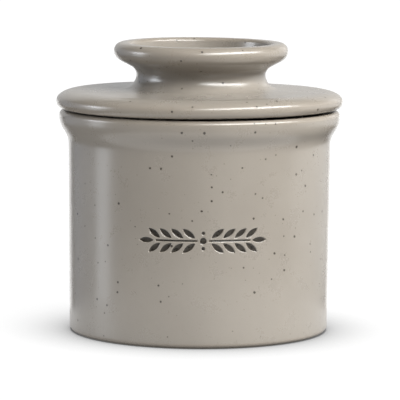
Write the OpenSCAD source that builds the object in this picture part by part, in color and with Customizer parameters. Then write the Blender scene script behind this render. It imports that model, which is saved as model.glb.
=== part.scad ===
// Butter crock: a stoneware pot that holds cold water, and a lid whose bell-shaped cup,
// packed with butter, hangs mouth down in the water. Millimetres, +Z up, origin on the
// axis of the pot where its foot meets the table. The impressed sprig faces -Y.

/* [Pot] */
// Height of the pot to the top of its rim
pot_h = 83.4; // [76:0.2:96]
// Outside diameter of the pot's wall, just below the flare of the rim
wall_d = 98.8; // [94:0.2:104]
// How much narrower the wall is at the foot than at the flare, on the diameter
wall_draft = 1.1; // [0:0.1:3]
// Thickness of the pot's wall
wall_t = 5; // [4:0.5:6]
// Thickness of the pot's floor
floor_t = 5.5; // [4:0.5:8]
// Depth of the hollow turned under the floor
foot_recess = 1.5; // [0.5:0.5:3]
// Width of the flat foot ring that the pot stands on
foot_w = 5.5; // [3:0.5:8]
// Height of the water line cut in the inside of the wall
water_line_h = 30; // [26:1:40]

/* [Rim] */
// Outside diameter of the flared rim
rim_d = 105.8; // [104:0.2:110]
// How far below the top of the rim the flare begins
flare_h = 12.5; // [11:0.5:16]
// Angle of the flare's underside from the vertical
flare_angle = 35; // [30:1:38]
// How much wider the mouth is than the inside of the wall, on the diameter
mouth_flare = 4; // [2:0.5:5]

/* [Lid] */
// Outside diameter of the lid's flange
lid_d = 108; // [106:0.5:112]
// Height of the flange at its crown, above its underside
lid_crown_h = 8; // [7:0.1:9]
// Fall of the flange's top from its crown to its edge, in degrees
lid_slope = 2.5; // [1:0.5:4]
// Gap between the unfastened lid and the rim that it rests on
seat_gap = 0.1; // [0.05:0.05:0.3]

/* [Knob] */
// Outside diameter of the knob's rim, which the lid stands on when it is turned over
knob_d = 65.6; // [60:0.2:72]
// Diameter of the knob's neck
neck_d = 48.8; // [44:0.2:52]
// Diameter of the well inside the knob
well_d = 38.8; // [34:0.2:40]
// Height of the knob above the crown of the flange
knob_h = 17.6; // [16:0.2:20]
// Angle of the knob's underside from the vertical
knob_angle = 62; // [58:1:64]

/* [Bell] */
// Outside diameter of the bell where it joins the lid
bell_root_d = 78; // [70:1:80]
// Outside diameter of the bell at its mouth
bell_mouth_d = 80; // [74:1:82]
// Thickness of the bell's wall
bell_wall = 4; // [3:0.5:5]
// Gap between the bell's mouth and the floor of the pot
bell_clear = 12; // [9:1:20]

/* [Motif] */
// Height of the sprig's stem above the table
motif_h = 39.7; // [34:0.1:46]
// Depth of the impression
motif_depth = 0.8; // [0.5:0.1:1.2]
// Thickness of the dark glaze that fills the bottom of the impression
inlay_t = 0.4; // [0.2:0.1:0.4]
// Length of one leaf
leaf_len = 5.6; // [4:0.2:6]
// Width of one leaf
leaf_w = 2; // [1.6:0.1:2.2]
// Angle of a side leaf from the stem
leaf_angle = 38; // [34:1:42]
// Pairs of leaves on each half of the sprig
leaf_pairs = 4; // [2:1:4]

/* [Hidden] */
$fn = 96;

glaze = [0.69, 0.66, 0.61];
dark_glaze = [0.16, 0.14, 0.12];

arc_step = 5; // degrees between the points of an arc

// Pot
floor_z = foot_recess + floor_t;
wall_r = wall_d / 2;
foot_r = wall_r - wall_draft / 2;
foot_corner = 1.9;
recess_corner = 1.2;
rim_r = rim_d / 2;
rim_top_r = 1.8;
rim_side = 0.7;
flare_z = pot_h - flare_h;
inner_r = wall_r - wall_t;
inner_draft = 0.5;
mouth_lip = 2;
floor_corner = 7;
line_depth = 0.45;
line_w = 1.4;

// Lid
seat_z = pot_h + seat_gap;
lid_r = lid_d / 2;
crown_z = seat_z + lid_crown_h;
edge_low_r = 2.5;
edge_lift = 0.5;
edge_angle = 12;
edge_run = 8;
edge_side = 0.4;
lute_depth = 1;

// Knob
knob_r = knob_d / 2;
neck_r = neck_d / 2;
well_r = well_d / 2;
top_z = crown_z + knob_h;
neck_cove = 5.2;
neck_z = crown_z + neck_cove;
knob_lip = 3.1;
knob_flat = 1.6;
well_lip = 1.6;
well_side_h = 2.8;
well_side_angle = 8;
well_round = 3;
funnel_angle = 45;
funnel_bend = 6;
lute_r = neck_r + neck_cove + 0.9;

// Bell
bell_z = floor_z + bell_clear;
bell_root_r = bell_root_d / 2;
bell_mouth_r = bell_mouth_d / 2;
bell_top_t = 5;
bell_cove = 3;
bell_feather = 0.3;
bell_corner = 8;

// Motif
motif_r = foot_r + (wall_r - foot_r) * (motif_h - foot_corner) / (flare_z - foot_corner);
motif_floor_r = motif_r - motif_depth;
cut_past = 1.2;
first_leaf = 3;
leaf_pitch = 4.3;
leaf_gap = 0.9;
stem_w = 0.7;
stem_start = 2.1;
stem_end = first_leaf + leaf_pitch * (leaf_pairs - 1) + 1.7;
tip_gap = 0.8;
berry_d = 2.4;
small_berry_d = 1.3;
berry_rise = 2.8;

// Points of an arc round [x, z], from angle a to angle b
function arc(x, z, r, a, b) = ellipse_arc(x, z, r, r, a, b);

// The same for an ellipse with half axes rx and rz
function ellipse_arc(x, z, rx, rz, a, b) =
    let (n = max(2, ceil(abs(b - a) / arc_step)))
    [for (i = [0:n]) let (t = a + (b - a) * i / n) [x + rx * cos(t), z + rz * sin(t)]];

// An S curve that leaves [r0, z0] straight up, turns out to angle t from the vertical in a
// cove, and comes back to straight up at [r1, z1]. The two arcs share one radius.
function ogee(r0, z0, r1, z1, t) =
    let (both = ((r1 - r0) * cos(t) - (z1 - z0) * sin(t)) / (cos(t) - 1), r = both / 2)
    concat(arc(r0 + r, z0, r, 180, 180 - t), arc(r1 - r, z1, r, -t, 0));

// Pot: foot, wall, flared rim, mouth, inside with its water line
function pot_outline() =
    let (
        foot_out = foot_r - foot_corner,
        foot_in = foot_out - foot_w,
        mouth_r = inner_r + mouth_flare / 2,
        low_r = inner_r - inner_draft,
        line_r = low_r + inner_draft * (water_line_h - floor_z) / (flare_z - floor_z)
    )
    concat(
        [[0, foot_recess]],
        arc(foot_in - recess_corner, foot_recess - recess_corner, recess_corner, 90, 0),
        [[foot_in, 0]],
        arc(foot_out, foot_corner, foot_corner, -90, 0),
        ogee(wall_r, flare_z, rim_r, pot_h - rim_top_r - rim_side, flare_angle),
        arc(rim_r - rim_top_r, pot_h - rim_top_r, rim_top_r, arc_step, 90),
        arc(mouth_r + mouth_lip, pot_h - mouth_lip, mouth_lip, 90, 175),
        [[inner_r, flare_z]],
        [
            [line_r, water_line_h + line_w / 2],
            [line_r + line_depth, water_line_h],
            [line_r, water_line_h - line_w / 2]
        ],
        arc(low_r - floor_corner, floor_z + floor_corner, floor_corner, 0, -90),
        [[0, floor_z]]
    );

// Flange: a thick disc with a central opening that the knob's well runs down through. Its
// underside is flat out to the seat on the rim, then rises at edge_angle to the rounded edge.
function flange_outline() =
    let (
        edge_x = lid_r - edge_low_r,
        edge_z = seat_z + edge_lift + edge_low_r,
        rise = edge_lift + edge_low_r * (1 - cos(edge_angle)),
        seat_r = edge_x + edge_low_r * sin(edge_angle) - rise / tan(edge_angle),
        side_z = edge_z + edge_side,
        shoulder_r = lid_r - edge_run,
        shoulder_z = crown_height(shoulder_r)
    )
    concat(
        [[well_r, seat_z], [seat_r, seat_z]],
        arc(edge_x, edge_z, edge_low_r, edge_angle - 90, 0),
        ellipse_arc(shoulder_r, side_z, edge_run, shoulder_z - side_z, 0, 90),
        [
            [lute_r, crown_height(lute_r)],
            [lute_r, crown_height(lute_r) - lute_depth],
            [well_r, crown_height(lute_r) - lute_depth]
        ]
    );

// Height of the flange's gently falling top at radius r
function crown_height(r) = crown_z - (r - neck_r - neck_cove) * tan(lid_slope);

// Knob: cove, neck, rolled rim, stand ring, then the steep side and the funnel down to the well
function knob_outline() =
    let (
        lute_z = crown_height(lute_r),
        flat_r = knob_r - knob_lip - knob_flat,
        side_r = flat_r - well_lip * cos(well_side_angle) - well_side_h * tan(well_side_angle),
        side_z = top_z - well_lip * (1 - sin(well_side_angle)) - well_side_h,
        round_x = side_r - well_round * cos(well_side_angle),
        round_z = side_z + well_round * sin(well_side_angle),
        funnel_r = round_x + well_round * cos(funnel_angle),
        funnel_z = round_z - well_round * sin(funnel_angle),
        bend_r = well_r + funnel_bend * (1 - cos(funnel_angle)),
        bend_z = funnel_z - (funnel_r - bend_r) / tan(funnel_angle),
        well_z = bend_z - funnel_bend * sin(funnel_angle)
    )
    concat(
        [[well_r, lute_z - lute_depth], [lute_r, lute_z - lute_depth], [lute_r, lute_z]],
        arc(neck_r + neck_cove, neck_z, neck_cove, 270 - lid_slope, 180 + arc_step),
        ogee(neck_r, neck_z, knob_r, top_z - knob_lip, knob_angle),
        arc(knob_r - knob_lip, top_z - knob_lip, knob_lip, arc_step, 90),
        arc(flat_r, top_z - well_lip, well_lip, 90, 180 - well_side_angle),
        arc(round_x, round_z, well_round, -well_side_angle, -funnel_angle),
        arc(well_r + funnel_bend, well_z, funnel_bend, 180 - funnel_angle, 180)
    );

// Bell: a plain cup with its mouth down, and a small cove where it is luted to the flange
function bell_outline() =
    let (
        cove_end = 180 - asin(1 - bell_feather / bell_cove),
        ceiling_z = seat_z - bell_top_t,
        lip_r = bell_wall / 2,
        inner_root_r = bell_root_r - bell_wall
    )
    concat(
        [[0, seat_z], [bell_root_r + bell_cove * (1 + cos(cove_end)), seat_z]],
        arc(bell_root_r + bell_cove, seat_z - bell_cove, bell_cove, cove_end, 180),
        arc(bell_mouth_r - lip_r, bell_z + lip_r, lip_r, 0, -180),
        arc(inner_root_r - bell_corner, ceiling_z - bell_corner, bell_corner, 0, 90),
        [[0, ceiling_z]]
    );

// Places children at arc length s round the wall from the sprig's middle, at height z,
// with their Z axis pointing straight out of the wall at radius r
module on_wall(s, z, r) {
    rotate([0, 0, s / motif_r * 180 / PI])
        translate([0, -r, motif_h + z])
            rotate([90, 0, 0])
                children();
}

// A pointed leaf, from its base at the origin along +X
module leaf_shape(len) {
    r = (len * len / 4 + leaf_w * leaf_w / 4) / leaf_w;
    translate([len / 2, 0])
        intersection() {
            translate([0, r - leaf_w / 2]) circle(r);
            translate([0, leaf_w / 2 - r]) circle(r);
        }
}

// Side leaves of the half of the sprig on side = 1 or -1, with thickness t from radius r
module side_leaves(side, r, t) {
    for (i = [0:leaf_pairs - 1], up = [1, -1])
        on_wall(side * (first_leaf + leaf_pitch * i), up * leaf_gap, r)
            linear_extrude(t)
                rotate(side > 0 ? up * leaf_angle : 180 - up * leaf_angle)
                    leaf_shape(leaf_len);
}

// Leaf at the tip of one half of the sprig
module tip_leaf(side, r, t) {
    on_wall(side * (stem_end + tip_gap), 0, r)
        linear_extrude(t)
            rotate(side > 0 ? 0 : 180)
                leaf_shape(leaf_len);
}

// Stem of one half of the sprig, which follows the curve of the wall
module stem(side, r, t) {
    start = (side > 0 ? stem_start : -stem_end) / motif_r * 180 / PI - 90;
    rotate([0, 0, start])
        rotate_extrude(angle = (stem_end - stem_start) / motif_r * 180 / PI)
            translate([r, motif_h - stem_w / 2])
                square([t, stem_w]);
}

// The berry in the middle, and a small one above and below it
module berries(r, t) {
    on_wall(0, 0, r) cylinder(h = t, d = berry_d);
    for (up = [1, -1])
        on_wall(0, up * berry_rise, r) cylinder(h = t, d = small_berry_d);
}

// The whole sprig as separate solids, from radius r outwards by t
module sprig(r, t) {
    for (side = [1, -1]) {
        side_leaves(side, r, t);
        tip_leaf(side, r, t);
        stem(side, r, t);
    }
    berries(r, t);
}

module crock_pot() {
    color(glaze)
        difference() {
            rotate_extrude() polygon(pot_outline());
            sprig(motif_floor_r, motif_depth + cut_past);
        }
}

module motif_inlay() {
    color(dark_glaze) sprig(motif_floor_r, inlay_t);
}

module lid_flange() {
    color(glaze) rotate_extrude() polygon(flange_outline());
}

module lid_knob() {
    color(glaze) rotate_extrude() polygon(knob_outline());
}

module butter_bell() {
    color(glaze) rotate_extrude() polygon(bell_outline());
}

crock_pot();
motif_inlay();
lid_flange();
lid_knob();
butter_bell();
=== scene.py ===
"""Butter crock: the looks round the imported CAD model.

Every shape starts from the CAD. Each turned piece is lofted again, finer and with softened
corners, from the outline that its CAD node shows in a cut. The impressed sprig follows the
outlines of the CAD glaze pools. Lengths are in metres unless a name says otherwise.
"""

import math

import bmesh
import bpy
import numpy as np
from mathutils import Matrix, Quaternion, Vector, geometry, noise


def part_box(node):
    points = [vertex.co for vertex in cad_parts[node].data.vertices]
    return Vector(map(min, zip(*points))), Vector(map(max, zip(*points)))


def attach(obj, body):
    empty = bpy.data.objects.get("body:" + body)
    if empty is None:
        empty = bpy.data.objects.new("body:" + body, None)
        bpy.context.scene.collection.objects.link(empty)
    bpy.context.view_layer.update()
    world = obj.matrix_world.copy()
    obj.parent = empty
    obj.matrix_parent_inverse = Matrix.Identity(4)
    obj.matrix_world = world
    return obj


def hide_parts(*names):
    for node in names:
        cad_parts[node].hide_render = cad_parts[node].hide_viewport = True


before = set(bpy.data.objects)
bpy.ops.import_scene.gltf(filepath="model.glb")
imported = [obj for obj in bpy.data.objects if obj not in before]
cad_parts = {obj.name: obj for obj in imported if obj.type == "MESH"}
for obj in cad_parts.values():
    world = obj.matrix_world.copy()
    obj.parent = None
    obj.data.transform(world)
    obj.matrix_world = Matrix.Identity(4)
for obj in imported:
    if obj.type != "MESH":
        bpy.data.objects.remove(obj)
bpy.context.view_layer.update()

MM = 0.001

# Turned pieces
COLUMNS = 240                     # round each turned piece
LONGEST_STEP = 1.3 * MM           # between rings on a straight stretch
CORNER_STEPS = (0.12 * MM, 0.3 * MM, 0.6 * MM)   # extra rings beside a real corner
REAL_CORNER = math.radians(20)    # an outline that turns more than this has a corner there
SOFTENING_PASSES = 3
CUT_AZIMUTH = math.radians(61.3)  # the cut through the CAD, well clear of the sprig on -Y
SAME = 1e-6
ON_CIRCLE = 0.1 * MM              # how far a cut may lie from the circle that it crosses
TOUCHING = 0.02 * MM              # what is closer together than this touches

# Hand-made unevenness, the same field for every piece, so neighbours keep their gaps
WOBBLE = 0.16 * MM
WOBBLE_SPAN = 42 * MM
WOBBLE_FOOT = 12 * MM             # the field fades out towards the table over this height
WOBBLE_AXIS = 10 * MM             # and towards the axis over this radius
KNOB_ASIDE = 0.5 * MM             # the knob was luted on a little to the right
KNOB_TILT = 0.012                 # and its rim falls towards the front, in radians
KNOB_BACK = 29 * MM               # where on +Y the tilt leaves it in place
KNOB_EASE_OUT = 12 * MM           # both fade out over this width round the knob
ASIDE_EASE_UP = 8 * MM            # and come in over these heights
TILT_EASE_UP = 14 * MM
FLANGE_WARP = 0.38 * MM           # the flange rises this much at the front right and the back left
WARP_FROM = 13 * MM               # the warp comes in between these distances from its edge
WARP_TO = 2 * MM

# Impressed sprig
PATCH_CUTS = 7                    # extra lines in each cell of the pot's wall round the sprig
PATCH_MARGIN = 1.6 * MM
WALL_BAND = 1.5 * MM              # what lies further inside than this isn't the pot's outer wall
PRESS_LIP = 0.14 * MM             # how far the rounded edge reaches outside the outline
PRESS_SLOPE = 0.42 * MM           # width of the rounded edge and the sloping side together
POOL_DEPTH = 0.47 * MM            # from the wall's surface down to the middle of a glaze pool
POOL_CLIMB = 0.16 * MM            # how far the glaze climbs the side of the impression
POOL_REACH = 0.2 * MM             # over what width it does so
POOL_STEP = 0.2 * MM
POOL_RINGS = 6
POOL_CORNERS = 16                 # the fewest points round a pool
SAME_CORNER = 0.03 * MM           # corners of an outline that are closer than this are one

FOOT_WIPED = 0.25 * MM            # the foot ring is bare clay below this height

# Studio
LOOK_AT = Vector((0.0004, 0, 0.049))
CAMERA_DISTANCE = 1.0395          # over the floor, from the crock's axis
CAMERA_HEIGHT = 0.1682
CAMERA_AZIMUTH = math.radians(-1.9)
CAMERA_ROLL = math.radians(0.35)
CAMERA_LENS_MM = 248.8
FLOOR_RADIUS = 0.4
FLOOR_SIDES = 128
FLOOR_MIRRORED = 0.14             # the glaze mirrors the floor out to this radius
FLOOR_MIRRORED_MIDDLE = -0.08     # from this place on Y
FLOOR_GLOW = 0.97
FLOOR_SHADE = 0.12                # share of the glow left right beside the crock, where the painted shadow is darkest
FLOOR_SHADE_REACH = 45 * MM
FLOOR_SHADE_FROM = (0, 0.8, 0.6)  # the painted shadow falls away from this side
BACKDROP_RADIUS = 8
BACKDROP_GLOW = 1.05


# ---------------------------------------------------------------- outlines from the CAD


def crossings(corners, across, outwards):
    """Where the edges of one triangle cross the cutting plane: {edge: (radius, height, on a circle)}."""
    found = {}
    for i in range(3):
        a, b = sorted((corners[i], corners[(i + 1) % 3]))
        low, high = Vector(a), Vector(b)
        from_low, from_high = low.dot(across), high.dot(across)
        if (from_low > 0) == (from_high > 0):
            continue
        point = low.lerp(high, from_low / (from_low - from_high))
        radius = point.dot(outwards)
        circle = low.xy.length
        on_circle = (
            abs(circle - high.xy.length) < SAME
            and abs(low.z - high.z) < SAME
            and abs(circle - radius) < ON_CIRCLE
        )
        found[(a, b)] = (circle if on_circle else radius, point.z, on_circle)
    return found


def outline(node):
    """The corners (radius, height) of a turned CAD node's section, in order, and whether it is closed."""
    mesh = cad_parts[node].data
    mesh.calc_loop_triangles()
    outwards = Vector((math.cos(CUT_AZIMUTH), math.sin(CUT_AZIMUTH), 0))
    across = Vector((-outwards.y, outwards.x, 0))
    places, links, ends = {}, {}, {}
    for triangle in mesh.loop_triangles:
        corners = [tuple(mesh.vertices[i].co) for i in triangle.vertices]
        found = crossings(corners, across, outwards)
        inside = [edge for edge in found if found[edge][0] > 0]
        if len(found) < 2 or not inside:
            continue
        places.update(found)
        if len(inside) == 2:
            links.setdefault(inside[0], []).append(inside[1])
            links.setdefault(inside[1], []).append(inside[0])
        else:
            ends[inside[0]] = (0.0, found[inside[0]][1], True)
    start = next(iter(ends or links))
    walk, last, here = [], None, start
    while here is not None:
        walk.append(places[here])
        onward = [edge for edge in links[here] if edge != last]
        last, here = here, (onward[0] if onward and onward[0] != start else None)
    if ends:
        walk = [ends[start], *walk, ends[last]]
    return distinct([Vector(place[:2]) for place in walk if place[2]], SAME), not ends


def distinct(points, apart):
    """The points in order, without any that is closer than apart to the one before it."""
    return [point for k, point in enumerate(points) if k == 0 or (point - points[k - 1]).length > apart]


def turn(before, here, after):
    """How far an outline turns at one of its points, in radians."""
    one, two = here - before, after - here
    return 0.0 if min(one.length, two.length) < SAME else one.angle(two)


def refined(points, closed, kept):
    """The outline with rings added and its corners softened, as (point, bend, sharp) rows.

    Bend is the turn per metre, above 0 where the surface bulges. Points in kept stay as they
    are and become sharp edges: they are where two luted pieces meet.
    """
    count = len(points)
    rows = []
    for i in range(count if closed else count - 1):
        start, end = points[i], points[(i + 1) % count]
        along = end - start
        corner = [
            (closed or 0 < k % count < count - 1)
            and turn(points[k - 1], points[k % count], points[(k + 1) % count]) > REAL_CORNER
            for k in (i, i + 1)
        ]
        pieces = max(1, math.ceil(along.length / LONGEST_STEP))
        places = {k / pieces for k in range(pieces)}
        for step in CORNER_STEPS:
            if along.length > 3 * step:
                places |= {step / along.length} if corner[0] else set()
                places |= {1 - step / along.length} if corner[1] else set()
        rows += [start + along * place for place in sorted(places)]
    if not closed:
        rows.append(points[-1])
    sharp = [any((row - point).length < SAME for point in kept) for row in rows]
    total = len(rows)
    fixed = [sharp[k] or (not closed and k in (0, total - 1)) for k in range(total)]
    for _ in range(SOFTENING_PASSES):
        rows = [
            rows[k] if fixed[k] else (rows[k - 1] + 2 * rows[k] + rows[(k + 1) % total]) / 4
            for k in range(total)
        ]
    bends = [0.0 if fixed[k] else bend(rows[k - 1], rows[k], rows[(k + 1) % total]) for k in range(total)]
    return list(zip(rows, bends, sharp))


def bend(before, here, after):
    """Turn per metre at a point of an outline, above 0 to the left."""
    one, two = here - before, after - here
    if min(one.length, two.length) < SAME:
        return 0.0
    cross = one.x * two.y - one.y * two.x
    return math.copysign(one.angle(two), cross) * 2 / (one.length + two.length)


def swept_area(points):
    """Signed area inside an outline, above 0 if it runs anticlockwise."""
    following = points[1:] + points[:1]
    return sum(a.x * b.y - b.x * a.y for a, b in zip(points, following)) / 2


def outer_radius(points, height):
    """The largest radius of an outline at a height."""
    radii = [
        a.lerp(b, (height - a.y) / (b.y - a.y)).x
        for a, b in zip(points, points[1:])
        if (a.y > height) != (b.y > height)
    ]
    return max(radii)


def shared_points(one, others):
    """Points that an outline shares with its neighbours' outlines."""
    return [p for p in one if any((p - q).length < TOUCHING for other in others for q in other)]


# ---------------------------------------------------------------- hand-made shape


def unevenness(place, channel):
    """Smooth noise from 0 to 1 over the whole object."""
    shifted = place / WOBBLE_SPAN + Vector((17.0 * channel, 5.0, 9.0))
    return min(1.0, max(0.0, 0.5 + 0.75 * noise.noise(shifted)))


def eased(value, low, high):
    """0 below low and 1 above high, with a smooth step between."""
    share = min(1.0, max(0.0, (value - low) / (high - low)))
    return share * share * (3 - 2 * share)


def hand_made(place):
    """A point moved a little inwards and down, as thrown and fired clay is never quite true."""
    fade = min(1.0, max(0.0, place.z / WOBBLE_FOOT))
    radius = place.xy.length
    inwards = WOBBLE * fade * unevenness(place, 0) * min(1.0, radius / WOBBLE_AXIS)
    down = WOBBLE * fade * unevenness(place, 1)
    scale = 1 - inwards / max(radius, SAME)
    middle = 1 - eased(radius, knob_radius, knob_radius + KNOB_EASE_OUT)
    aside = KNOB_ASIDE * middle * eased(place.z, seat_height, seat_height + ASIDE_EASE_UP)
    fall = KNOB_TILT * (KNOB_BACK - place.y) * middle
    fall *= eased(place.z, crown_height, crown_height + TILT_EASE_UP)
    saddle = 0.5 - place.x * place.y / max(radius, SAME) ** 2
    outer = eased(radius, flange_radius - WARP_FROM, flange_radius - WARP_TO)
    rise = FLANGE_WARP * saddle * outer if place.z > seat_height - TOUCHING else 0.0
    return Vector((place.x * scale + aside, place.y * scale, place.z - down - fall + rise))


def turned_mesh(name, rows, closed):
    """A bmesh lofted round the axis from the rows of a refined outline, with its bend as an attribute."""
    shape = bmesh.new()
    bend_layer = shape.verts.layers.float.new("bend")
    rings = []
    for point, bending, _ in rows:
        on_axis = point.x < SAME
        ring = []
        for k in range(1 if on_axis else COLUMNS):
            angle = 2 * math.pi * k / COLUMNS - math.pi / 2
            place = Vector((point.x * math.cos(angle), point.x * math.sin(angle), point.y))
            vertex = shape.verts.new(place)
            vertex[bend_layer] = bending
            ring.append(vertex)
        rings.append(ring)
    pairs = list(zip(rings, rings[1:] + rings[:1])) if closed else list(zip(rings, rings[1:]))
    for low, high in pairs:
        for k in range(COLUMNS):
            after = (k + 1) % COLUMNS
            corners = [low[k % len(low)], low[after % len(low)], high[after % len(high)], high[k % len(high)]]
            shape.faces.new(list(dict.fromkeys(corners)))
    for ring, (_, _, sharp) in zip(rings, rows):
        for k in range(COLUMNS if sharp else 0):
            shape.edges.get((ring[k], ring[(k + 1) % COLUMNS])).smooth = False
    bmesh.ops.recalc_face_normals(shape, faces=shape.faces)
    return shape


def finished_piece(name, shape, materials, body, node):
    """The object for a bmesh, made slightly uneven, shown instead of its CAD node."""
    for vertex in shape.verts:
        vertex.co = hand_made(vertex.co)
    for face in shape.faces:
        face.smooth = True
    mesh = bpy.data.meshes.new(name)
    shape.to_mesh(mesh)
    shape.free()
    for material in materials:
        mesh.materials.append(material)
    piece = bpy.data.objects.new(name, mesh)
    bpy.context.scene.collection.objects.link(piece)
    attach(piece, body)
    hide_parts(node)
    return piece


# ---------------------------------------------------------------- impressed sprig


def separate_solids(node):
    """The vertices of each separate solid of a CAD node, as lists of Vectors."""
    shape = bmesh.new()
    shape.from_mesh(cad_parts[node].data)
    bmesh.ops.remove_doubles(shape, verts=shape.verts, dist=SAME)
    left = set(shape.verts)
    solids = []
    while left:
        group, front = set(), [min(left, key=lambda vertex: vertex.index)]
        while front:
            vertex = front.pop()
            if vertex in group:
                continue
            group.add(vertex)
            front += [edge.other_vert(vertex) for edge in vertex.link_edges]
        left -= group
        solids.append([vertex.co.copy() for vertex in sorted(group, key=lambda v: v.index)])
    shape.free()
    return solids


def unrolled(place):
    """(distance round the wall from the sprig's middle, height) of a point on the wall."""
    return math.atan2(place.x, -place.y) * wall_radius, place.z


def sprig_outlines():
    """Each pool's outline on the unrolled wall, anticlockwise, as an array of points."""
    outlines = []
    for solid in separate_solids("motif_inlay"):
        flat = [Vector(unrolled(place)) for place in solid]
        hull = [flat[i] for i in geometry.convex_hull_2d(flat)]
        hull = distinct(hull, SAME_CORNER)
        if swept_area(hull) < 0:
            hull.reverse()
        outlines.append(np.array([tuple(p) for p in hull]))
    return outlines


def distance_outside(points, hull):
    """How far each of an array of points is outside a convex outline, below 0 inside it."""
    following = np.roll(hull, -1, axis=0)
    edges = following - hull
    outwards = np.column_stack((edges[:, 1], -edges[:, 0]))
    outwards /= np.linalg.norm(outwards, axis=1, keepdims=True)
    heights = (points[:, None, :] - hull[None, :, :]) * outwards[None, :, :]
    return heights.sum(axis=2).max(axis=1)


def press_sprig(shape, outlines):
    """Cuts the wall finer round the sprig and presses the outlines into it."""
    low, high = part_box("motif_inlay")
    reach = math.atan2(high.x, -high.y) + PATCH_MARGIN / wall_radius
    cells = []
    for face in shape.faces:
        middle = face.calc_center_median()
        on_wall = middle.xy.length > wall_radius - WALL_BAND
        beside = abs(math.atan2(middle.x, -middle.y)) < reach
        if on_wall and beside and low.z - PATCH_MARGIN < middle.z < high.z + PATCH_MARGIN:
            cells.append(face)
    edges = list({edge for face in cells for edge in face.edges})
    wall = sorted({(round(v.co.z, 7), v.co.xy.length) for face in cells for v in face.verts})
    bmesh.ops.subdivide_edges(shape, edges=edges, cuts=PATCH_CUTS, use_grid_fill=True)
    patch = [
        vertex
        for vertex in shape.verts
        if wall[0][0] - SAME < vertex.co.z < wall[-1][0] + SAME
        and vertex.co.xy.length > wall_radius - WALL_BAND
        and abs(math.atan2(vertex.co.x, -vertex.co.y)) < reach + 2 * math.pi / COLUMNS
    ]
    flat = np.array([unrolled(vertex.co) for vertex in patch])
    outside = np.min([distance_outside(flat, hull) for hull in outlines], axis=0)
    share = np.clip((PRESS_LIP - outside) / PRESS_SLOPE, 0, 1)
    depths = press_depth * share * share * (3 - 2 * share)
    heights, radii = zip(*wall)
    for vertex, depth in zip(patch, depths):
        radius = np.interp(vertex.co.z, heights, radii) - depth
        angle = math.atan2(vertex.co.x, -vertex.co.y)
        vertex.co.x = radius * math.sin(angle)
        vertex.co.y = -radius * math.cos(angle)


def on_wall(flat, depth):
    """The point at a depth under the wall's surface, from its place on the unrolled wall."""
    angle = flat[0] / wall_radius
    radius = wall_radius - depth
    return Vector((radius * math.sin(angle), -radius * math.cos(angle), flat[1]))


def evenly_round(hull):
    """Points at equal steps round an outline."""
    closed = np.vstack((hull, hull[:1]))
    lengths = np.concatenate(([0], np.cumsum(np.linalg.norm(np.diff(closed, axis=0), axis=1))))
    count = max(POOL_CORNERS, round(lengths[-1] / POOL_STEP))
    places = np.linspace(0, lengths[-1], count, endpoint=False)
    return np.column_stack([np.interp(places, lengths, closed[:, axis]) for axis in (0, 1)])


def pooled_glaze(outlines):
    """A bmesh of the dark glaze: one closed, dished pool in each impression."""
    shape = bmesh.new()
    thin = shape.verts.layers.float.new("bend")
    for hull in outlines:
        rim = evenly_round(hull)
        middle = rim.mean(axis=0)
        top = []
        for k in range(POOL_RINGS):
            flat = middle + (rim - middle) * (1 - k / POOL_RINGS)
            inside = -distance_outside(flat, hull)
            climb = np.exp(-np.maximum(inside, 0) / POOL_REACH)
            ring = []
            for point, share in zip(flat, climb):
                vertex = shape.verts.new(on_wall(point, POOL_DEPTH - POOL_CLIMB * share))
                vertex[thin] = share
                ring.append(vertex)
            top.append(ring)
        crown = shape.verts.new(on_wall(middle, POOL_DEPTH))
        bottom = [shape.verts.new(on_wall(point, press_depth)) for point in rim]
        foot = shape.verts.new(on_wall(middle, press_depth))
        count = len(rim)
        for k in range(count):
            after = (k + 1) % count
            for outer, inner in zip(top, top[1:]):
                shape.faces.new((outer[k], outer[after], inner[after], inner[k]))
            shape.faces.new((top[-1][k], top[-1][after], crown))
            shape.faces.new((bottom[after], bottom[k], foot))
            shape.faces.new((bottom[k], bottom[after], top[0][after], top[0][k]))
            shape.edges.get((top[0][k], top[0][after])).smooth = False
    bmesh.ops.recalc_face_normals(shape, faces=shape.faces)
    return shape


# ---------------------------------------------------------------- materials


def add(tree, kind, inputs=None, **settings):
    """A new shader node. inputs gives values, or sockets to link, by input name or number."""
    node = tree.nodes.new(kind)
    for name, value in settings.items():
        setattr(node, name, value)
    for name, value in (inputs or {}).items():
        if isinstance(value, bpy.types.NodeSocket):
            tree.links.new(value, node.inputs[name])
        else:
            node.inputs[name].default_value = value
    return node


def noise_field(tree, coordinates, span, detail=2.0, roughness=0.5):
    """Noise from 0 to 1 whose lumps are about one span wide."""
    node = add(
        tree,
        "ShaderNodeTexNoise",
        {"Vector": coordinates, "Scale": 1 / span, "Detail": detail, "Roughness": roughness},
    )
    return node.outputs["Fac"]


def remapped(tree, value, low, high, to_low=0.0, to_high=1.0, smooth=False):
    """value taken from the range low..high to the range to_low..to_high, and clamped there."""
    node = add(
        tree,
        "ShaderNodeMapRange",
        {"Value": value, "From Min": low, "From Max": high, "To Min": to_low, "To Max": to_high},
        interpolation_type="SMOOTHSTEP" if smooth else "LINEAR",
    )
    return node.outputs["Result"]


def maths(tree, operation, one, two):
    """One maths node."""
    return add(tree, "ShaderNodeMath", {0: one, 1: two}, operation=operation).outputs[0]


def mixed(tree, share, one, two):
    """Colour one turning into colour two as share goes from 0 to 1."""
    node = add(tree, "ShaderNodeMix", {0: share, 6: one, 7: two}, data_type="RGBA")
    return node.outputs[2]


def local_coordinates(tree, shift, stretch=(1, 1, 1)):
    """The piece's own coordinates in metres, shifted so that two pieces don't share a pattern."""
    source = add(tree, "ShaderNodeTexCoord").outputs["Object"]
    return add(
        tree, "ShaderNodeMapping", {"Vector": source, "Location": shift, "Scale": stretch}
    ).outputs["Vector"]


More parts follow.
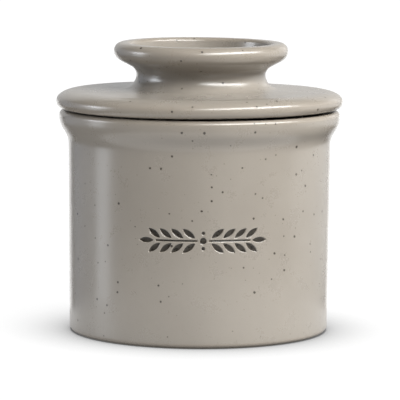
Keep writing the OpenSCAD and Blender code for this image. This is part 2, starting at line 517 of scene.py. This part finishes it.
def jittered(tree, coordinates, span, amount):
    """Coordinates pushed about a little, so that round spots lose their roundness."""
    wander = add(tree, "ShaderNodeTexNoise", {"Vector": coordinates, "Scale": 1 / span, "Detail": 1.0})
    centred = add(
        tree,
        "ShaderNodeVectorMath",
        {0: wander.outputs["Color"], 1: (0.5, 0.5, 0.5)},
        operation="SUBTRACT",
    ).outputs[0]
    return add(
        tree,
        "ShaderNodeVectorMath",
        {0: centred, 1: (2 * amount,) * 3, 2: coordinates},
        operation="MULTIPLY_ADD",
    ).outputs[0]


def specks(tree, coordinates, cell, smallest, largest, share, softness=0.45):
    """Scattered spots of radius smallest..largest, one in a share of the cells."""
    cells = add(tree, "ShaderNodeTexVoronoi", {"Vector": coordinates, "Scale": 1 / cell})
    drawn = add(tree, "ShaderNodeSeparateColor", {"Color": cells.outputs["Color"]}).outputs["Red"]
    radius = remapped(tree, drawn, 1 - share, 1.0, smallest / cell, largest / cell)
    edge = maths(tree, "MULTIPLY", radius, maths(tree, "GREATER_THAN", drawn, 1 - share))
    core = maths(tree, "MULTIPLY", edge, 1 - softness)
    return remapped(tree, cells.outputs["Distance"], core, edge, 1.0, 0.0, smooth=True)


def new_material(name):
    """An empty node material and its Principled shader."""
    material = bpy.data.materials.new(name)
    material.use_nodes = True
    tree = material.node_tree
    tree.nodes.clear()
    shader = add(tree, "ShaderNodeBsdfPrincipled")
    add(tree, "ShaderNodeOutputMaterial", {"Surface": shader.outputs["BSDF"]})
    return material, tree, shader


def satin_glaze(name, shift):
    """Warm grey satin glaze: clouded, faintly streaked, with iron specks and an orange-peel skin."""
    material, tree, shader = new_material(name)
    place = local_coordinates(tree, shift)
    streaked = local_coordinates(tree, shift, (1, 1, 0.22))
    clouds = remapped(tree, noise_field(tree, place, 21 * MM, 4.0), 0.3, 0.7)
    streaks = remapped(tree, noise_field(tree, streaked, 5 * MM, 3.0), 0.3, 0.7)
    grain = remapped(tree, noise_field(tree, place, 0.55 * MM, 3.0, 0.6), 0.25, 0.75)
    colour = mixed(tree, clouds, (0.254, 0.228, 0.196, 1), (0.277, 0.250, 0.216, 1))
    colour = mixed(tree, maths(tree, "MULTIPLY", streaks, 0.25), colour, (0.247, 0.225, 0.198, 1))
    colour = mixed(tree, maths(tree, "MULTIPLY", grain, 0.22), colour, (0.228, 0.204, 0.173, 1))
    bulge = add(tree, "ShaderNodeAttribute", attribute_name="bend").outputs["Fac"]
    worn = remapped(tree, bulge, 60.0, 420.0, 0.0, 0.3)
    colour = mixed(tree, worn, colour, (0.280, 0.232, 0.180, 1))
    wandering = jittered(tree, place, 0.5 * MM, 0.14 * MM)
    large = specks(tree, wandering, 3.8 * MM, 0.3 * MM, 0.62 * MM, 0.55, 0.35)
    small = specks(tree, wandering, 2.8 * MM, 0.2 * MM, 0.32 * MM, 0.5)
    halo = specks(tree, wandering, 3.8 * MM, 0.65 * MM, 1.1 * MM, 0.55, 0.9)
    colour = mixed(tree, maths(tree, "MULTIPLY", halo, 0.15), colour, (0.21, 0.165, 0.115, 1))
    colour = mixed(tree, maths(tree, "MULTIPLY", small, 0.6), colour, (0.09, 0.066, 0.046, 1))
    colour = mixed(tree, maths(tree, "MULTIPLY", large, 0.93), colour, (0.028, 0.021, 0.016, 1))
    patches = noise_field(tree, place, 9 * MM, 3.0)
    gloss = remapped(tree, patches, 0.3, 0.7, 0.25, 0.3)
    gloss = maths(tree, "ADD", gloss, maths(tree, "MULTIPLY", grain, 0.03))
    peel = noise_field(tree, place, 3.2 * MM, 1.0)
    fine = noise_field(tree, place, 0.35 * MM, 2.0)
    height = maths(tree, "ADD", peel, maths(tree, "MULTIPLY", fine, 0.06))
    height = maths(tree, "SUBTRACT", height, maths(tree, "MULTIPLY", large, 3.0))
    bump = add(tree, "ShaderNodeBump", {"Height": height, "Distance": 0.0025 * MM, "Strength": 1.0})
    tree.links.new(colour, shader.inputs["Base Color"])
    tree.links.new(gloss, shader.inputs["Roughness"])
    tree.links.new(bump.outputs["Normal"], shader.inputs["Normal"])
    shader.inputs["IOR"].default_value = 1.5
    shader.inputs["Coat Weight"].default_value = 0.25
    shader.inputs["Coat Roughness"].default_value = 0.2
    return material


def dark_glaze():
    """Brown-black glaze: near black where it lies deep, brown where it thins at the rim."""
    material, tree, shader = new_material("dark_glaze")
    place = local_coordinates(tree, (0.3, 0.1, 0.2))
    clouds = remapped(tree, noise_field(tree, place, 1.6 * MM, 3.0), 0.35, 0.65)
    crystals = remapped(tree, noise_field(tree, place, 0.22 * MM, 2.0), 0.52, 0.7)
    colour = mixed(tree, clouds, (0.016, 0.014, 0.012, 1), (0.034, 0.029, 0.023, 1))
    colour = mixed(tree, maths(tree, "MULTIPLY", crystals, 0.35), colour, (0.115, 0.095, 0.07, 1))
    thin = add(tree, "ShaderNodeAttribute", attribute_name="bend").outputs["Fac"]
    colour = mixed(tree, remapped(tree, thin, 0.45, 1.0, 0.0, 0.6), colour, (0.13, 0.097, 0.065, 1))
    gloss = remapped(tree, clouds, 0.0, 1.0, 0.24, 0.4)
    skin = noise_field(tree, place, 0.6 * MM, 2.0)
    bump = add(tree, "ShaderNodeBump", {"Height": skin, "Distance": 0.03 * MM, "Strength": 1.0})
    tree.links.new(colour, shader.inputs["Base Color"])
    tree.links.new(gloss, shader.inputs["Roughness"])
    tree.links.new(bump.outputs["Normal"], shader.inputs["Normal"])
    return material


def bare_clay():
    """Unglazed stoneware of the foot ring: buff, sandy, with dark grog."""
    material, tree, shader = new_material("bare_clay")
    place = local_coordinates(tree, (0.7, 0.4, 0.1))
    clouds = remapped(tree, noise_field(tree, place, 7 * MM, 4.0), 0.3, 0.7)
    sand = remapped(tree, noise_field(tree, place, 0.4 * MM, 3.0, 0.65), 0.3, 0.7)
    colour = mixed(tree, clouds, (0.36, 0.285, 0.205, 1), (0.45, 0.37, 0.275, 1))
    colour = mixed(tree, maths(tree, "MULTIPLY", sand, 0.35), colour, (0.27, 0.21, 0.15, 1))
    grog = specks(tree, jittered(tree, place, 0.4 * MM, 0.12 * MM), 1.8 * MM, 0.1 * MM, 0.32 * MM, 0.6)
    colour = mixed(tree, maths(tree, "MULTIPLY", grog, 0.7), colour, (0.09, 0.065, 0.045, 1))
    gloss = remapped(tree, sand, 0.0, 1.0, 0.72, 0.92)
    bump = add(tree, "ShaderNodeBump", {"Height": sand, "Distance": 0.06 * MM, "Strength": 1.0})
    tree.links.new(colour, shader.inputs["Base Color"])
    tree.links.new(gloss, shader.inputs["Roughness"])
    tree.links.new(bump.outputs["Normal"], shader.inputs["Normal"])
    return material


# ---------------------------------------------------------------- the pieces


outlines = {node: outline(node) for node in ("crock_pot", "lid_flange", "lid_knob", "butter_bell")}
knob_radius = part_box("lid_knob")[1].x
flange_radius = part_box("lid_flange")[1].x
seat_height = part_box("lid_flange")[0].z
crown_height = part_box("lid_flange")[1].z
sprig_height = (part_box("motif_inlay")[0].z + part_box("motif_inlay")[1].z) / 2
wall_radius = outer_radius(outlines["crock_pot"][0], sprig_height)
press_depth = wall_radius - min(
    vertex.co.xy.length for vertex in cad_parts["motif_inlay"].data.vertices
)
pot_glaze = satin_glaze("pot_glaze", (0.11, 0.03, 0.05))
lid_glaze = satin_glaze("lid_glaze", (0.52, 0.27, 0.33))


def turned_piece(node, body, materials, work=None):
    """One turned CAD node made again, with its glaze."""
    points, closed = outlines[node]
    neighbours = [outlines[other][0] for other in outlines if other != node]
    if swept_area(points) < 0:
        points = points[::-1]
    shape = turned_mesh(node, refined(points, closed, shared_points(points, neighbours)), closed)
    if work:
        work(shape)
    return finished_piece(node + "_glazed", shape, materials, body, node)


def pot_work(shape):
    """The pot's own work: the pressed sprig, and bare clay on the foot ring."""
    press_sprig(shape, sprig)
    for face in shape.faces:
        if face.calc_center_median().z < FOOT_WIPED:
            face.material_index = 1


sprig = sprig_outlines()
turned_piece("crock_pot", "pot", [pot_glaze, bare_clay()], pot_work)
finished_piece("motif_glaze", pooled_glaze(sprig), [dark_glaze()], "pot", "motif_inlay")
for lid_node in ("lid_flange", "lid_knob", "butter_bell"):
    turned_piece(lid_node, "lid", [lid_glaze])


# ---------------------------------------------------------------- studio


def around(azimuth, elevation, distance):
    """A point round the crock: azimuth 0 is in front, on -Y, and 90 to the right, on +X."""
    side, up = math.radians(azimuth), math.radians(elevation)
    flat = distance * math.cos(up)
    return LOOK_AT + Vector((flat * math.sin(side), -flat * math.cos(side), distance * math.sin(up)))


def softbox(name, azimuth, elevation, distance, width, height, brightness, colour=(1, 1, 1)):
    """A rectangular light that faces the crock. brightness is what a mirror would show of it."""
    light = bpy.data.lights.new(name, "AREA")
    light.shape = "RECTANGLE"
    light.size = width
    light.size_y = height
    light.energy = brightness * math.pi * width * height
    light.color = colour
    lamp = bpy.data.objects.new(name, light)
    lamp.location = around(azimuth, elevation, distance)
    lamp.rotation_mode = "QUATERNION"
    lamp.rotation_quaternion = (LOOK_AT - lamp.location).to_track_quat("-Z", "Y")
    lamp.visible_camera = False
    bpy.context.scene.collection.objects.link(lamp)


def floor_white():
    """White, glowing from inside, with a painted shadow: the glow dims where the crock is close."""
    material, tree, shader = new_material("floor_white")
    cloud = noise_field(tree, local_coordinates(tree, (0, 0, 0)), 60 * MM, 2.0)
    colour = mixed(tree, cloud, (0.045, 0.045, 0.045, 1), (0.055, 0.055, 0.055, 1))
    # Painted shadow: the floor's glow is dimmed by how much of the crock it sees within reach, on a
    # hemisphere leaned to the back, so the shade lies mostly in front and at the sides.
    clear = add(
        tree,
        "ShaderNodeAmbientOcclusion",
        {"Distance": FLOOR_SHADE_REACH, "Normal": FLOOR_SHADE_FROM},
        samples=16,
    )
    close = remapped(tree, clear.outputs["AO"], 0.4, 1.0, 1.0, 0.0)
    shade = maths(tree, "MULTIPLY", close, close)
    glow = remapped(tree, shade, 0.0, 1.0, FLOOR_GLOW, FLOOR_GLOW * FLOOR_SHADE)
    tree.links.new(colour, shader.inputs["Base Color"])
    tree.links.new(glow, shader.inputs["Emission Strength"])
    shader.inputs["Emission Color"].default_value = (1, 1, 1, 1)
    shader.inputs["Roughness"].default_value = 0.85
    shader.inputs["Specular IOR Level"].default_value = 0.1
    return material


def floor_part(name, inner, outer, mirrored, material):
    """The flat floor between two circles, each a (middle on Y, radius) pair. It casts no shadow."""
    shape = bmesh.new()
    rings = []
    for middle, radius in (inner, outer):
        ring = []
        for k in range(FLOOR_SIDES if radius else 1):
            angle = 2 * math.pi * k / FLOOR_SIDES
            ring.append(shape.verts.new((radius * math.cos(angle), middle + radius * math.sin(angle), 0)))
        rings.append(ring)
    for k in range(FLOOR_SIDES):
        after = (k + 1) % FLOOR_SIDES
        start = [rings[0][after], rings[0][k]] if len(rings[0]) > 1 else rings[0]
        shape.faces.new([rings[1][k], rings[1][after], *start])
    mesh = bpy.data.meshes.new(name)
    shape.to_mesh(mesh)
    shape.free()
    mesh.materials.append(material)
    part = bpy.data.objects.new(name, mesh)
    bpy.context.scene.collection.objects.link(part)
    part.visible_glossy = mirrored
    part.visible_shadow = False


def pale_floor():
    """A round white table top in two parts, of which the glaze mirrors only the inner one."""
    material = floor_white()
    middle, border = (FLOOR_MIRRORED_MIDDLE, 0), (FLOOR_MIRRORED_MIDDLE, FLOOR_MIRRORED)
    floor_part("floor", middle, border, True, material)
    floor_part("floor_round", border, (0, FLOOR_RADIUS), False, material)


def white_backdrop():
    """A white dome that only the camera sees."""
    shape = bmesh.new()
    bmesh.ops.create_uvsphere(shape, u_segments=48, v_segments=24, radius=BACKDROP_RADIUS)
    mesh = bpy.data.meshes.new("backdrop")
    shape.to_mesh(mesh)
    shape.free()
    material, tree, shader = new_material("backdrop_white")
    shader.inputs["Base Color"].default_value = (0, 0, 0, 1)
    shader.inputs["Emission Color"].default_value = (1, 1, 1, 1)
    shader.inputs["Emission Strength"].default_value = BACKDROP_GLOW
    mesh.materials.append(material)
    dome = bpy.data.objects.new("backdrop", mesh)
    bpy.context.scene.collection.objects.link(dome)
    dome.visible_diffuse = False
    dome.visible_glossy = False
    dome.visible_transmission = False
    dome.visible_shadow = False


def room_light(brightness, colour):
    """Faint even light from all round."""
    world = bpy.data.worlds.new("room")
    world.use_nodes = True
    background = world.node_tree.nodes["Background"]
    background.inputs["Color"].default_value = colour
    background.inputs["Strength"].default_value = brightness
    bpy.context.scene.world = world


def make_camera():
    """The camera at the photograph's viewing angle."""
    camera = bpy.data.cameras.new("camera")
    camera.lens = CAMERA_LENS_MM
    camera.sensor_width = 36
    camera.clip_end = 20
    view = bpy.data.objects.new("camera", camera)
    view.location = (
        CAMERA_DISTANCE * math.sin(CAMERA_AZIMUTH),
        -CAMERA_DISTANCE * math.cos(CAMERA_AZIMUTH),
        CAMERA_HEIGHT,
    )
    aim = (LOOK_AT - view.location).to_track_quat("-Z", "Y")
    view.rotation_mode = "QUATERNION"
    view.rotation_quaternion = aim @ Quaternion((0, 0, 1), CAMERA_ROLL)
    bpy.context.scene.collection.objects.link(view)
    bpy.context.scene.camera = view


# Name, azimuth, elevation, distance, width, height, brightness, colour
softbox("key", 46, 43, 1.2, 1.35, 0.36, 12.7, (1.0, 1.0, 0.99))
softbox("key_ends", 46, 43, 1.21, 1.95, 0.4, 7.0, (1.0, 1.0, 0.99))
softbox("left_strip", -92, 13, 1.2, 0.44, 0.38, 9.0, (0.9, 0.94, 1.0))
softbox("left_low", -93, -6, 1.2, 0.34, 0.34, 3.4, (0.9, 0.94, 1.0))
softbox("left_card", -125, 5, 1.3, 0.9, 0.8, 0.5, (0.78, 0.85, 1.0))
softbox("right_card", 118, 8, 1.3, 1.7, 0.9, 0.95)
softbox("sweep", 180, 19, 1.5, 2.0, 1.0, 0.72)
softbox("sweep_low", 180, -8, 1.5, 1.4, 0.44, 1.6)
room_light(0.02, (0.95, 0.97, 1.0, 1))
pale_floor()
white_backdrop()
make_camera()
bpy.context.scene.view_settings.view_transform = "Standard"
